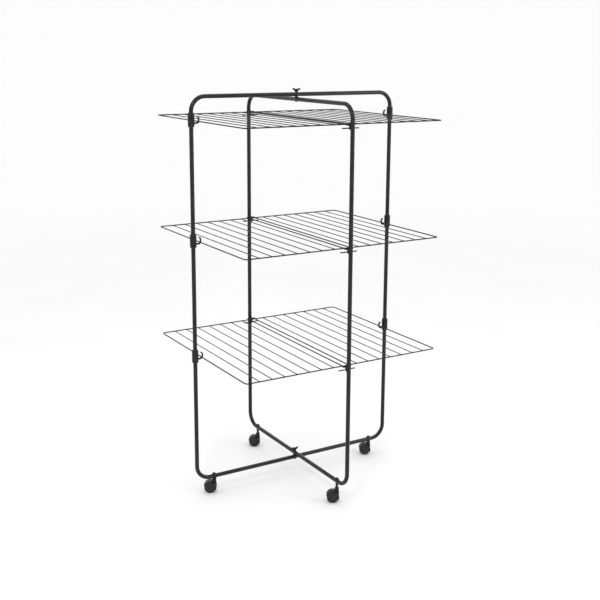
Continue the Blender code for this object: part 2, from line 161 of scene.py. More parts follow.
def piece(node, forms, material, matrix=None, sharp=40):
    """The piece that stands for a node: its mesh at its place, riding on the node's body."""
    form = merged(forms)
    if matrix is not None:
        form = moved(form, matrix)
    quads, triangles = form["quads"], form["triangles"]
    mesh = bpy.data.meshes.new(node + "_look")
    mesh.vertices.add(len(form["vertices"]))
    mesh.vertices.foreach_set("co", form["vertices"].astype(np.float32).ravel())
    corners = np.concatenate([quads.ravel(), triangles.ravel()]).astype(np.int32)
    mesh.loops.add(len(corners))
    mesh.loops.foreach_set("vertex_index", corners)
    mesh.polygons.add(len(quads) + len(triangles))
    starts = np.concatenate([np.arange(len(quads)) * 4, len(quads) * 4 + np.arange(len(triangles)) * 3])
    mesh.polygons.foreach_set("loop_start", starts.astype(np.int32))
    mesh.update(calc_edges=True)
    mesh.validate()
    grain = mesh.attributes.new("grain", "FLOAT_VECTOR", "POINT")
    grain.data.foreach_set("vector", form["grain"].astype(np.float32).ravel())
    wear = mesh.attributes.new("wear", "FLOAT", "POINT")
    wear.data.foreach_set("value", form["wear"].astype(np.float32).ravel())
    mesh.shade_smooth()
    mesh.set_sharp_from_angle(angle=radians(sharp))
    mesh.materials.append(material)
    obj = bpy.data.objects.new(node + "_look", mesh)
    bpy.context.scene.collection.objects.link(obj)
    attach(obj, BODY_OF[node])
    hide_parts(node)
    return obj


def filleted(corners, radius):
    """A flat route through corner points, each inner corner rounded by an arc of the radius that touches
    both sides: it starts r tan(t/2) before the corner, where t is the turn, and its centre is r to the
    inner side."""
    corners = np.array(corners, float)
    route = [corners[:1]]
    for before, corner, after in zip(corners, corners[1:], corners[2:]):
        come, leave = corner - before, after - corner
        come, leave = come / np.linalg.norm(come), leave / np.linalg.norm(leave)
        side = np.sign(come[0] * leave[1] - come[1] * leave[0])
        turn = np.arccos(np.clip(come @ leave, -1, 1))
        start = corner - come * radius * np.tan(turn / 2)
        inward = np.array([-come[1], come[0]]) * side
        angles = np.linspace(0, turn, 48)[:, None]
        route.append(start + inward * radius * (1 - np.cos(angles)) + come * radius * np.sin(angles))
    route.append(corners[-1:])
    return np.concatenate(route)


def smooth_route(points, samples=24):
    """A Catmull-Rom curve through the points: between neighbours it is the cubic whose slope at each point
    is half the step between the points on its two sides."""
    points = np.array(points, float)
    padded = np.concatenate([2 * points[:1] - points[1:2], points, 2 * points[-1:] - points[-2:-1]])
    t = np.linspace(0, 1, samples, endpoint=False)[None, :, None]
    a, b, c, d = (padded[i : len(padded) - 3 + i, None] for i in range(4))
    curve = b + 0.5 * t * (c - a + t * (2 * a - 5 * b + 4 * c - d + t * (3 * (b - c) + d - a)))
    return np.concatenate([curve.reshape(-1, points.shape[1]), points[-1:]])


def lengths(route):
    return np.concatenate([[0.0], np.cumsum(np.linalg.norm(np.diff(route, axis=0), axis=1))])


def sweep(route, stations, section, plane=("X", "Z"), at=0.0, wear=None):
    """A section carried along a flat route. At the length s the point is route(s) + u side(s) + v normal,
    where side is the route's direction turned a quarter turn in its plane, normal is the plane's own, and
    (u, v) is the section, an array (stations or 1, columns, 2). at places the plane along its normal."""
    run = lengths(route)
    centre = np.stack([np.interp(stations, run, route[:, k]) for k in (0, 1)], -1)
    ahead = np.stack([np.interp(stations + HAIR, run, route[:, k]) for k in (0, 1)], -1)
    behind = np.stack([np.interp(stations - HAIR, run, route[:, k]) for k in (0, 1)], -1)
    tangent = ahead - behind
    tangent /= np.linalg.norm(tangent, axis=1, keepdims=True)
    side = np.stack([-tangent[:, 1], tangent[:, 0]], -1)
    section = np.broadcast_to(section, (len(stations),) + section.shape[1:])
    flat = centre[:, None] + section[..., :1] * side[:, None]
    points = np.zeros(flat.shape[:2] + (3,))
    axes = ["XYZ".index(letter) for letter in plane]
    points[..., axes[0]], points[..., axes[1]] = flat[..., 0], flat[..., 1]
    points[..., 3 - sum(axes)] = at + section[..., 1]
    return solid(points, stations, wear)


def circle(radius, columns):
    """Points on a circle, (r cos a, r sin a), for each radius in an array."""
    turn = np.arange(columns) * TAU / columns
    return np.atleast_1d(radius)[:, None, None] * np.stack([np.cos(turn), np.sin(turn)], -1)


def rounded_box(width, height, power, columns):
    """A superellipse, |u / (w/2)|^p + |v / (h/2)|^p = 1, for each width and height in an array."""
    turn = np.arange(columns) * TAU / columns
    c, s = np.cos(turn), np.sin(turn)
    u = np.sign(c) * np.abs(c) ** (2 / power) * np.atleast_1d(width)[:, None] / 2
    v = np.sign(s) * np.abs(s) ** (2 / power) * np.atleast_1d(height)[:, None] / 2
    return np.stack(np.broadcast_arrays(u, v), -1)


def spaced(length, pitch, close_to_ends=()):
    """Stations about a pitch apart, with more of them at given distances from both ends."""
    even = np.linspace(0, length, max(2, round(length / pitch)) + 1)
    near = np.array(close_to_ends)
    return np.unique(np.round(np.concatenate([even, near, length - near]), 7))


def dome(stations, length, radius, reach):
    """A rod's radius along its length: r sqrt(1 - (1 - d/reach)^2) within reach of an end at the distance
    d, else r."""
    distance = np.minimum(stations, length - stations)
    near = np.clip(1 - distance / reach, 0, 0.999)
    return radius * np.sqrt(1 - near**2)


def rod(route, radius, plane, at=0.0, columns=14, pitch=0.02, reach=None, swell=0.0, swell_from=0.0):
    """A round bar along a flat route with domed ends. A weld swells it towards its ends by swell exp(-(d -
    swell_from) / swell), where d is the distance from the end."""
    length = lengths(route)[-1]
    reach = radius if reach is None else reach
    close = reach * (1 - np.cos(np.linspace(0, pi / 2, 6)))
    if swell:
        close = np.concatenate([close, swell_from + np.linspace(0, 5 * swell, 7)])
    stations = spaced(length, pitch, close)
    across = dome(stations, length, radius, reach)
    if swell:
        distance = np.minimum(stations, length - stations) - swell_from
        across = across + swell * np.exp(-np.clip(distance, 0, None) / swell) * (across > radius * 0.9)
    return sweep(route, stations, circle(across, columns), plane, at)


def lathe(profile, columns=48, wear=None, ring=False, relief=None):
    """A turned form about Z. The profile is (radius, height) pairs, each turned once round. relief is a
    function of the height and the angle that is added to the radius."""
    profile = np.array(profile, float)
    turn = np.arange(columns) * TAU / columns
    along = lengths(profile)
    radius = np.broadcast_to(profile[:, :1], (len(profile), columns))
    if relief is not None:
        radius = radius + relief(profile[:, 1][:, None], turn[None, :])
    points = np.stack([radius * np.cos(turn), radius * np.sin(turn),
                       np.broadcast_to(profile[:, 1:], radius.shape)], -1)
    return solid(points, along, wear, ring)


def eased(corners, radius, samples=6):
    """A profile through corner points with each inner corner rounded by a short curve, B(t) = (1-t)^2 a +
    2t(1-t) c + t^2 b, from a to b at the radius before and after the corner c, or at half the side if that
    is shorter."""
    corners = np.array(corners, float)
    t = np.linspace(0, 1, samples)[:, None]
    route = [corners[:1]]
    for before, corner, after in zip(corners, corners[1:], corners[2:]):
        come, leave = before - corner, after - corner
        a = corner + come * min(0.5, radius / max(np.linalg.norm(come), 1e-9))
        b = corner + leave * min(0.5, radius / max(np.linalg.norm(leave), 1e-9))
        route.append((1 - t) ** 2 * a + 2 * t * (1 - t) * corner + t**2 * b)
    route.append(corners[-1:])
    return np.concatenate(route)


def looped(corners, radius, samples=6):
    """The same rounding on a closed profile, where every corner is an inner one."""
    corners = np.array(corners, float)
    wrapped = np.concatenate([corners[-1:], corners, corners[:1]])
    return eased(wrapped, radius, samples)[1:-1]


def arc_shell(profile, start, end, columns_pitch=radians(4)):
    """A closed profile of (radius, height) pairs swept round Z from one angle to another, with flat ends:
    (r cos a, r sin a, z)."""
    profile = np.array(profile, float)
    turn = np.linspace(start, end, max(4, int(abs(end - start) / columns_pitch)) + 1)[:, None]
    points = np.stack([profile[:, 0] * np.cos(turn), profile[:, 0] * np.sin(turn),
                       np.broadcast_to(profile[:, 1], (len(turn), len(profile)))], -1)
    return solid(points, turn[:, 0] * profile[:, 0].mean())


def pad(outline, half, edge, steps=5, crown=0.0):
    """A flat outline in XZ given a thickness along Y, with its rims rounded by quarter circles: the outline
    is drawn in by e (1 - cos q) where the face is e (1 - sin q) short of full height. crown raises the
    faces' middles."""
    outline = np.array(outline, float)
    along = np.roll(outline, -1, 0) - np.roll(outline, 1, 0)
    inward = np.stack([-along[:, 1], along[:, 0]], -1)
    inward /= np.linalg.norm(inward, axis=1, keepdims=True)
    area = (outline[:, 0] * np.roll(outline[:, 1], -1) - np.roll(outline[:, 0], -1) * outline[:, 1]).sum()
    inward *= np.sign(area)
    quarter = np.linspace(0, pi / 2, steps)
    inset = edge * (1 - np.cos(quarter))[::-1]
    level = half - edge + edge * np.sin(quarter)[::-1]
    middle = outline.mean(0)
    shrink = np.array([0.30, 0.62, 0.86])
    faces = [middle + (outline + inward * edge - middle) * f for f in shrink]
    levels = [half + crown * (1 - f**2) for f in shrink]
    rings = faces + [outline + inward * i for i in inset]
    heights = levels + list(level)
    rings, heights = rings + rings[::-1], heights + [-h for h in heights[::-1]]
    points = np.stack([np.stack([ring[:, 0], np.full(len(ring), height), ring[:, 1]], -1)
                       for ring, height in zip(rings, heights)])
    wear = np.zeros(len(rings))
    wear[len(faces) + 1 : len(faces) + steps] = 0.8
    wear[-len(faces) - steps : -len(faces) - 1] = 0.8
    return solid(points, None, wear)


def turn_z(angle):
    return Matrix.Rotation(angle, 4, "Z")


Y_UP = Matrix.Rotation(-pi / 2, 4, "X")
X_UP = Matrix.Rotation(pi / 2, 4, "Y")


# ---------------------------------------------------------------- finishes


def shader_group(name, inputs, outputs):
    """An empty node group with named float, vector or colour sockets."""
    group = bpy.data.node_groups.new(name, "ShaderNodeTree")
    for label, kind, value in inputs:
        socket = group.interface.new_socket(label, in_out="INPUT", socket_type="NodeSocket" + kind)
        if value is not None:
            socket.default_value = value
    for label, kind in outputs:
        group.interface.new_socket(label, in_out="OUTPUT", socket_type="NodeSocket" + kind)
    return group, group.nodes.new("NodeGroupInput"), group.nodes.new("NodeGroupOutput")


def add(tree, kind, inputs=(), **settings):
    """A node with its settings, and its inputs either linked to a socket or set to a value."""
    node = tree.nodes.new("ShaderNode" + kind)
    for key, value in settings.items():
        setattr(node, key, value)
    for key, value in dict(inputs).items():
        if isinstance(value, bpy.types.NodeSocket):
            tree.links.new(value, node.inputs[key])
        else:
            node.inputs[key].default_value = value
    return node


def calc(tree, operation, *values, clamp=False):
    return add(tree, "Math", dict(enumerate(values)), operation=operation, use_clamp=clamp).outputs[0]


def ramp(tree, value, low, high, out_low=0.0, out_high=1.0):
    """A smooth step from out_low to out_high as the value goes from low to high."""
    inputs = {"Value": value, "From Min": low, "From Max": high, "To Min": out_low, "To Max": out_high}
    return add(tree, "MapRange", inputs, interpolation_type="SMOOTHSTEP").outputs["Result"]


def noise(tree, vector, scale, detail=2.0, roughness=0.5):
    inputs = {"Vector": vector, "Scale": scale, "Detail": detail, "Roughness": roughness}
    return add(tree, "TexNoise", inputs).outputs["Fac"]


def make_skin_relief():
    """Height of a fine skin: a coarse ripple, such as a sprayed coat's orange peel, with a finer grit on
    it."""
    group, into, out = shader_group(
        "skin relief",
        [("Vector", "Vector", None), ("Ripple Scale", "Float", 700.0), ("Grit Scale", "Float", 3000.0),
         ("Grit Share", "Float", 0.3)],
        [("Height", "Float")],
    )
    ripple = noise(group, into.outputs["Vector"], into.outputs["Ripple Scale"], 1.0)
    grit = noise(group, into.outputs["Vector"], into.outputs["Grit Scale"], 2.0, 0.6)
    share = into.outputs["Grit Share"]
    rest = calc(group, "SUBTRACT", 1.0, share)
    height = calc(group, "ADD", calc(group, "MULTIPLY", ripple, rest), calc(group, "MULTIPLY", grit, share))
    group.links.new(height, out.inputs["Height"])
    return group


def make_drawn_lines():
    """Fine lines along or around a piece, from its own grain coordinates stretched one way."""
    group, into, out = shader_group(
        "drawn lines",
        [("Stretch", "Vector", (1.0, 1.0, 1.0)), ("Scale", "Float", 1500.0)],
        [("Height", "Float"), ("Streaks", "Float")],
    )
    grain = add(group, "Attribute", attribute_name="grain", attribute_type="GEOMETRY").outputs["Vector"]
    vector = add(group, "VectorMath", {0: grain, 1: into.outputs["Stretch"]}, operation="MULTIPLY").outputs[0]
    lines = noise(group, vector, into.outputs["Scale"], 2.0, 0.65)
    group.links.new(lines, out.inputs["Height"])
    group.links.new(ramp(group, lines, 0.42, 0.62), out.inputs["Streaks"])
    return group


def make_settled_dust():
    """A mask of dust: more of it on faces that look up, broken by a soft noise and a fine speckle."""
    group, into, out = shader_group(
        "settled dust",
        [("Vector", "Vector", None), ("Amount", "Float", 0.3)],
        [("Mask", "Float")],
    )
    normal = add(group, "NewGeometry").outputs["Normal"]
    up = add(group, "SeparateXYZ", {0: normal}).outputs["Z"]
    facing = ramp(group, up, 0.15, 1.0)
    cloud = ramp(group, noise(group, into.outputs["Vector"], 28.0, 3.0), 0.30, 0.75)
    speckle = ramp(group, noise(group, into.outputs["Vector"], 1800.0, 1.0), 0.50, 0.72)
    both = calc(group, "ADD", calc(group, "MULTIPLY", cloud, 0.6), calc(group, "MULTIPLY", speckle, 0.4))
    mask = calc(group, "MULTIPLY", calc(group, "MULTIPLY", facing, both), into.outputs["Amount"], clamp=True)
    group.links.new(mask, out.inputs["Mask"])
    return group


def make_edge_wear():
    """A mask of rubbed edges: the piece's own wear attribute, broken up by noise."""
    group, into, out = shader_group(
        "edge wear",
        [("Vector", "Vector", None), ("Scale", "Float", 400.0), ("Amount", "Float", 0.5)],
        [("Mask", "Float")],
    )
    wear = add(group, "Attribute", attribute_name="wear", attribute_type="GEOMETRY").outputs["Fac"]
    broken = ramp(group, noise(group, into.outputs["Vector"], into.outputs["Scale"], 3.0, 0.6), 0.38, 0.68)
    mask = calc(group, "MULTIPLY", calc(group, "MULTIPLY", wear, broken), into.outputs["Amount"], clamp=True)
    group.links.new(mask, out.inputs["Mask"])
    return group


SKIN_RELIEF = make_skin_relief()
DRAWN_LINES = make_drawn_lines()
SETTLED_DUST = make_settled_dust()
EDGE_WEAR = make_edge_wear()


def placed(tree, group, **inputs):
    node = tree.nodes.new("ShaderNodeGroup")
    node.node_tree = group
    for key, value in inputs.items():
        key = key.replace("_", " ")
        if isinstance(value, bpy.types.NodeSocket):
            tree.links.new(value, node.inputs[key])
        else:
            node.inputs[key].default_value = value
    return node.outputs


def blend(tree, mask, first, second):
    """A colour that goes from first to second with the mask."""
    node = tree.nodes.new("ShaderNodeMix")
    node.data_type = "RGBA"
    tree.links.new(mask, node.inputs["Factor"])
    for socket, value in ((node.inputs[6], first), (node.inputs[7], second)):
        if isinstance(value, bpy.types.NodeSocket):
            tree.links.new(value, socket)
        else:
            socket.default_value = (*value, 1.0)
    return node.outputs[2]


def finish(name, dark, light, rubbed, roughness, relief, bump, dust, wear,
           lines=None, cloud_scale=14.0, **sockets):
    """A finish from its parts: two tones that cloud into each other, a skin relief with an optional grain
    of lines, dust on top and rubbed edges. roughness is (low, high), relief is (ripple scale, grit scale,
    grit share), and the other sockets are set on the shader."""
    material = bpy.data.materials.new(name)
    material.use_nodes = True
    tree = material.node_tree
    shader = tree.nodes["Principled BSDF"]
    for key, value in sockets.items():
        shader.inputs[key.replace("_", " ")].default_value = value
    where = add(tree, "TexCoord").outputs["Object"]
    cloud = ramp(tree, noise(tree, where, cloud_scale, 4.0, 0.6), 0.30, 0.70)
    ripple_scale, grit_scale, grit_share = relief
    skin = placed(tree, SKIN_RELIEF, Vector=where, Ripple_Scale=ripple_scale, Grit_Scale=grit_scale,
                  Grit_Share=grit_share)["Height"]
    height = skin
    colour = blend(tree, cloud, dark, light)
    rough = ramp(tree, cloud, 0.0, 1.0, *roughness)
    if lines:
        drawn = placed(tree, DRAWN_LINES, Stretch=lines[0], Scale=lines[1])
        height = calc(tree, "ADD", skin, calc(tree, "MULTIPLY", drawn["Height"], lines[2]))
        rough = calc(tree, "ADD", rough, calc(tree, "MULTIPLY", drawn["Streaks"], 0.08))
    dusty = placed(tree, SETTLED_DUST, Vector=where, Amount=dust)["Mask"]
    worn = placed(tree, EDGE_WEAR, Vector=where, Amount=wear)["Mask"]
    colour = blend(tree, worn, colour, rubbed)
    colour = blend(tree, dusty, colour, (0.19, 0.185, 0.175))
    rough = calc(tree, "ADD", rough, calc(tree, "MULTIPLY", dusty, 0.35), clamp=True)
    tree.links.new(colour, shader.inputs["Base Color"])
    tree.links.new(rough, shader.inputs["Roughness"])
    relief_node = add(tree, "Bump", {"Height": height, "Strength": bump[0], "Distance": bump[1]})
    tree.links.new(relief_node.outputs["Normal"], shader.inputs["Normal"])
    return material


COATED_STEEL = finish(
    "powder coated steel", (0.0040, 0.0040, 0.0044), (0.0066, 0.0066, 0.0071), (0.060, 0.060, 0.062),
    (0.24, 0.32), (520.0, 2600.0, 0.35), (0.60, 0.00011), 0.07, 0.40,
    Specular_IOR_Level=0.34,
)
COATED_WIRE = finish(
    "powder coated wire", (0.0036, 0.0036, 0.0039), (0.0060, 0.0060, 0.0064), (0.060, 0.060, 0.062),
    (0.30, 0.40), (900.0, 3400.0, 0.4), (0.5, 0.00006), 0.05, 0.35,
    lines=((12.0, 900.0, 900.0), 1.0, 0.25), Specular_IOR_Level=0.22,
)
MOULDED_BLACK = finish(
    "black moulded plastic", (0.0040, 0.0040, 0.0043), (0.0078, 0.0078, 0.0081), (0.045, 0.045, 0.046),
    (0.36, 0.48), (1500.0, 4200.0, 0.55), (0.7, 0.00010), 0.10, 0.45,
    Specular_IOR_Level=0.30,
)
WHEEL_NYLON = finish(
    "black nylon wheel", (0.0075, 0.0075, 0.0078), (0.0150, 0.0150, 0.0153), (0.070, 0.069, 0.067),
    (0.36, 0.52), (1100.0, 3600.0, 0.5), (0.7, 0.00012), 0.14, 0.7,
    lines=((900.0, 40.0, 40.0), 1.0, 0.6), Specular_IOR_Level=0.40,
)
BLACK_ZINC = finish(
    "black zinc steel", (0.016, 0.016, 0.017), (0.034, 0.033, 0.034), (0.16, 0.16, 0.16),
    (0.28, 0.42), (1200.0, 3800.0, 0.4), (0.4, 0.00006), 0.06, 0.55,
    lines=((1500.0, 30.0, 30.0), 1.0, 0.8), Metallic=0.8,
)


# ---------------------------------------------------------------- tube loops


def tube_loop(half_width, base_z, end_z, plane, tube_r):
    """Half a loop of tube: a circle carried along a U. It eases off by 0.3 mm at its free ends, and where
    the pivot bolt clamps it, it is pressed down by the share k exp(-(d / 12 mm)^2) and widened by half as
    much."""
    route = filleted([(half_width, end_z), (half_width, base_z), (-half_width, base_z), (-half_width, end_z)],
                     CORNER_R)
    length = lengths(route)[-1]
    stations = spaced(length, 0.005, (0.00025, 0.0006, 0.0012))
    distance = np.minimum(stations, length - stations)
    radius = tube_r - 0.0003 * np.clip(1 - distance / 0.0006, 0, 1) ** 2
    press = 0.09 * np.exp(-(((stations - length / 2) / 0.012) ** 2))
    section = circle(radius, 32)
    section = section * np.stack([1 - press, 1 + press / 2], -1)[:, None]
    wear = 0.4 * np.exp(-distance / 0.0012) + 0.5 * np.exp(-(((stations - length / 2) / 0.010) ** 2))
    return sweep(route, stations, section, plane, wear=wear)


loops = {}
for loop, plane, across in (("outer_frame", ("X", "Z"), 0), ("inner_frame", ("Y", "Z"), 1)):
    low, high = node_box(f"{loop}_upper_tube")
    tube_r = (high[1 - across] - low[1 - across]) / 2
    half_width, top_z, joint_z = high[across] - tube_r, high[2] - tube_r, low[2]
    base_z = node_box(f"{loop}_lower_tube")[0][2] + tube_r
    loops[loop] = {"half": half_width, "top": top_z, "base": base_z, "r": tube_r}
    upper = tube_loop(half_width, top_z, joint_z + HAIR, plane, tube_r)
    lower = tube_loop(half_width, base_z, joint_z - HAIR, plane, tube_r)
    piece(f"{loop}_upper_tube", [upper], COATED_STEEL)
    piece(f"{loop}_lower_tube", [lower], COATED_STEEL)
TUBE_R = loops["outer_frame"]["r"]


# ---------------------------------------------------------------- half shelves and their wires


def half_shelf(hinge_x, outer_x, axle_end, bar_r):
    """A half shelf on +X at z = 0: a bent U of bar whose ends butt on the axle bar, and straight wires
    between its arms, each swollen into its welds."""
    corners = [(hinge_x, END_BAR_Y), (outer_x, END_BAR_Y), (outer_x, -END_BAR_Y), (hinge_x, -END_BAR_Y)]
    forms = [rod(filleted(corners, SHELF_CORNER_R), bar_r, ("X", "Y"), pitch=0.004,
                 swell=0.0007, swell_from=bar_r)]
    forms.append(rod(np.array([(hinge_x, -axle_end), (hinge_x, axle_end)]), bar_r, ("X", "Y"), reach=0.0008))
    for index in range(WIRE_COUNT):
        x = hinge_x + FIRST_WIRE + index * WIRE_PITCH
        route = np.array([(x, -END_BAR_Y), (x, END_BAR_Y)])
        forms.append(rod(route, WIRE_R, ("X", "Y"), columns=12, swell=0.0006, swell_from=bar_r))
    return merged(forms)


low, high = node_box("shelf_top_right")
BAR_R = (high[2] - low[2]) / 2
HINGE_X, OUTER_BAR_X = low[0] + BAR_R, high[0] - BAR_R
shelf = half_shelf(HINGE_X, OUTER_BAR_X, high[1], BAR_R)
for tier in TIERS:
    for side in SIDES:
        low, high = node_box(f"shelf_{tier}_{side}")
        place = Matrix.Translation((0, 0, (low[2] + high[2]) / 2)) @ turn_z(0 if side == "right" else pi)
        piece(f"shelf_{tier}_{side}", [shelf], COATED_WIRE, place)
    for end in ENDS:
        node = f"stop_wire_{tier}_{end}"
        low, high = node_box(node)
        route = np.array([(low[0], (low[1] + high[1]) / 2), (high[0], (low[1] + high[1]) / 2)])
        form = rod(route, BAR_R, ("X", "Y"), (low[2] + high[2]) / 2, reach=0.0012, pitch=0.004)
        piece(node, [form], COATED_WIRE)


# ---------------------------------------------------------------- hook clips


def hook_clip(bottom, top, bar_x):
    """A sleeve about the tube at the origin, with a hook on +X. The sleeve is turned, barrelled by 0.25 mm,
    with a parting line sunk by d exp(-(a / w)^2) on its two sides, and each end tapers in to the bore, with
    wear along its rim. The hook is a rounded section carried under the bar, up its far side and back over
    it, wide at its root and round at its tip."""
    bore = TUBE_R + HAIR
    outer = [(bore, top), (bore + 0.0016, top), (SLEEVE_R - 0.0002, top - 0.0030),
             (SLEEVE_R, (top + bottom) / 2), (SLEEVE_R - 0.0002, bottom + 0.0030),
             (bore + 0.0016, bottom), (bore, bottom)]
    profile = eased(outer, 0.0012, 8)
    dense = np.concatenate([np.linspace(a, b, 5, endpoint=False) for a, b in zip(profile, profile[1:])])
    dense = np.concatenate([dense, profile[-1:]])

    def parting(_, turn):
        off = np.abs(turn % pi - pi / 2)
        inside = np.clip((dense[:, :1] - bore) / 0.001, 0, 1)
        return -0.00022 * np.exp(-((off / 0.030) ** 2)) * inside

    rim = np.exp(-(((np.abs(dense[:, 1] - (top + bottom) / 2) - (top - bottom) / 2 + 0.0016) / 0.0012) ** 2))
    sleeve = lathe(dense, 96, rim, ring=True, relief=parting)
    route = smooth_route([
        (SLEEVE_R - 0.0020, -0.0058), (SLEEVE_R + 0.0020, -0.0058), (bar_x - 0.0040, -0.0057),
        (bar_x - 0.0002, -0.0052), (bar_x + 0.0028, -0.0031), (bar_x + 0.0044, 0.0014),
        (bar_x + 0.0048, 0.0070), (bar_x + 0.0040, 0.0116), (bar_x + 0.0012, 0.0147),
        (bar_x - 0.0024, 0.0151),
    ])
    length = lengths(route)[-1]
    stations = spaced(length, 0.0008, (0.0001, 0.0003, 0.0007, 0.0012))
    share = stations / length
    tip = np.sqrt(np.clip(1 - np.clip(1 - (length - stations) / 0.0016, 0, 0.985) ** 2, 0, 1))
    root = np.exp(-stations / 0.0028)
    thick = (0.0058 - 0.0019 * share + 0.0028 * root) * tip
    wide = (0.0080 - 0.0010 * share + 0.0030 * root) * (0.35 + 0.65 * tip)
    section = rounded_box(thick, wide, 3.0, 28)
    hook = sweep(route, stations, section, ("X", "Z"), wear=0.7 * np.exp(-(length - stations) / 0.006))
    return merged([sleeve, hook])


for tier in TIERS:
    low, high = node_box(f"hook_clip_{tier}_right")
    bar_z = (node_box(f"shelf_{tier}_right")[0][2] + node_box(f"shelf_{tier}_right")[1][2]) / 2
    half = loops["outer_frame"]["half"]
    clip = hook_clip(low[2] - bar_z, high[2] - bar_z, half - OUTER_BAR_X)
    for side in SIDES:
        place = Matrix.Translation((SIGN[side] * half, 0, bar_z)) @ turn_z(pi if side == "right" else 0)
        piece(f"hook_clip_{tier}_{side}", [clip], MOULDED_BLACK, place)


# ---------------------------------------------------------------- hinge brackets


def hinge_bracket(near, far, drop):
    """A bracket on the inner side of the tube at the origin, which is -Y: a saddle round half of the tube,
    two eyes on the shelves' axles, a web that joins them and a foot that holds the stop wire, drop
    below."""
    bore = TUBE_R + HAIR
    saddle_profile = looped([(bore, -0.0165), (bore + 0.0021, -0.0150), (bore + 0.0021, 0.0040),
                             (bore, 0.0056)], 0.0006)
    saddle = arc_shell(saddle_profile, radians(180 + 12), radians(360 - 12))
    middle, half = (near + far) / 2, (far - near) / 2
    eye_profile = looped([
        (BAR_R + HAIR, -half), (EYE_R, -half), (EYE_R, half), (BAR_R + HAIR, half)], 0.0008)
    rim = np.clip((eye_profile[:, 0] - EYE_R + 0.0012) / 0.0010, 0, 1)
    eye = lathe(eye_profile, 40, rim * 0.7, ring=True)
    eyes = [moved(eye, Matrix.Translation((side * HINGE_X, middle, 0)) @ Y_UP) for side in (-1, 1)]
    web_outline = looped([
        (-HINGE_X + 0.0024, 0.0025), (-0.0052, 0.0034), (0.0052, 0.0034), (HINGE_X - 0.0024, 0.0025),
        (HINGE_X - 0.0026, -0.0024), (0.0058, -0.0048), (-0.0058, -0.0048),
        (-HINGE_X + 0.0026, -0.0024)], 0.0016)
    web = moved(pad(web_outline, 0.0024, 0.0008), Matrix.Translation((0, near + 0.0036, 0)))
    foot_outline = looped([(-0.0046, 0.0050), (0.0046, 0.0050), (0.0042, -drop - 0.0046),
                           (-0.0042, -drop - 0.0046)],
                          0.0024)
    foot = moved(pad(foot_outline, 0.0034, 0.0011), Matrix.Translation((0, near + 0.0040, 0)))
    return merged([saddle, web, foot] + eyes)


for tier in TIERS:
    for end in ENDS:
        node = f"hinge_bracket_{tier}_{end}"
        tube_y = loops["inner_frame"]["half"]
        low, high = node_box(f"hinge_bracket_{tier}_back")
        shelf_low, shelf_high = node_box(f"shelf_{tier}_right")
        stop_low, stop_high = node_box(f"stop_wire_{tier}_back")
        axle_z = (shelf_low[2] + shelf_high[2]) / 2
        drop = axle_z - (stop_low[2] + stop_high[2]) / 2
        bracket = hinge_bracket(low[1] - tube_y, EYE_FAR_Y - tube_y, drop)
        place = Matrix.Translation((0, SIGN[end] * tube_y, axle_z)) @ turn_z(0 if end == "back" else pi)
        piece(node, [bracket], MOULDED_BLACK, place)


# ---------------------------------------------------------------- pivots


def pivot_bolt(head_top, tip):
    """A bolt up from a domed head with a raised socket rim, threaded near its tip: the radius drops by half
    the thread's depth times 1 + cos(2 pi z / pitch - a)."""
    low = head_top - BOLT_HEAD_H
    head = eased([(0.0004, low + 0.0012), (0.0014, low + 0.0012), (0.0016, low), (0.0030, low + 0.0002),
                  (0.0047, low + 0.0012), (BOLT_HEAD_R, low + 0.0026), (BOLT_HEAD_R, head_top)], 0.0005)
    shank_z = np.linspace(head_top, tip - 0.0006, int((tip - head_top) / 0.00012))
    shank = np.stack([np.full(len(shank_z), BOLT_R), shank_z], -1)
    end = [(BOLT_R - 0.0007, tip), (0.0003, tip)]
    profile = np.concatenate([head, [(BOLT_R, head_top)], shank, end])
    start = tip - 0.0125

    def thread(height, turn):
        on = np.clip((height - start) / 0.0008, 0, 1) * (np.abs(profile[:, :1] - BOLT_R) < 1e-6)
        return -0.00022 * (1 + np.cos(TAU * height / 0.0010 - turn)) * on

    return lathe(profile, 48, relief=thread)


def wing_nut():
    """A wing nut on z = 0: a turned boss with a raised collar, and two wings, flat pads with round rims
    that rise outwards to a lobe."""
    bore = BOLT_R + HAIR
    boss_profile = looped([(bore, 0.0104), (0.0044, 0.0104), (0.0046, 0.0072), (0.0060, 0.0016),
                           (0.0060, 0), (bore, 0)],
                          0.0006)
    boss = lathe(boss_profile, 64, 0.6 * np.clip((boss_profile[:, 1] - 0.0095) / 0.001, 0, 1), ring=True)
    lobe_r = 0.0028
    lobe = np.array([0.0135 - lobe_r, 0.0135 - lobe_r])
    angles = np.radians(np.linspace(-50, 95, 14))
    lobe_arc = lobe + lobe_r * np.stack([np.cos(angles), np.sin(angles)], -1)
    root = smooth_route([(0.0036, 0.0100), (0.0034, 0.0060), (0.0036, 0.0022)], 4)
    lower = smooth_route([(0.0052, 0.0024), (0.0074, 0.0046), (0.0102, 0.0074)], 4)
    upper = smooth_route([(0.0084, 0.0130), (0.0062, 0.0118), (0.0046, 0.0106)], 4)
    wing = pad(np.concatenate([root, lower, lobe_arc, upper]), 0.0014, 0.0007)
    return merged([boss, wing, moved(wing, turn_z(pi))])


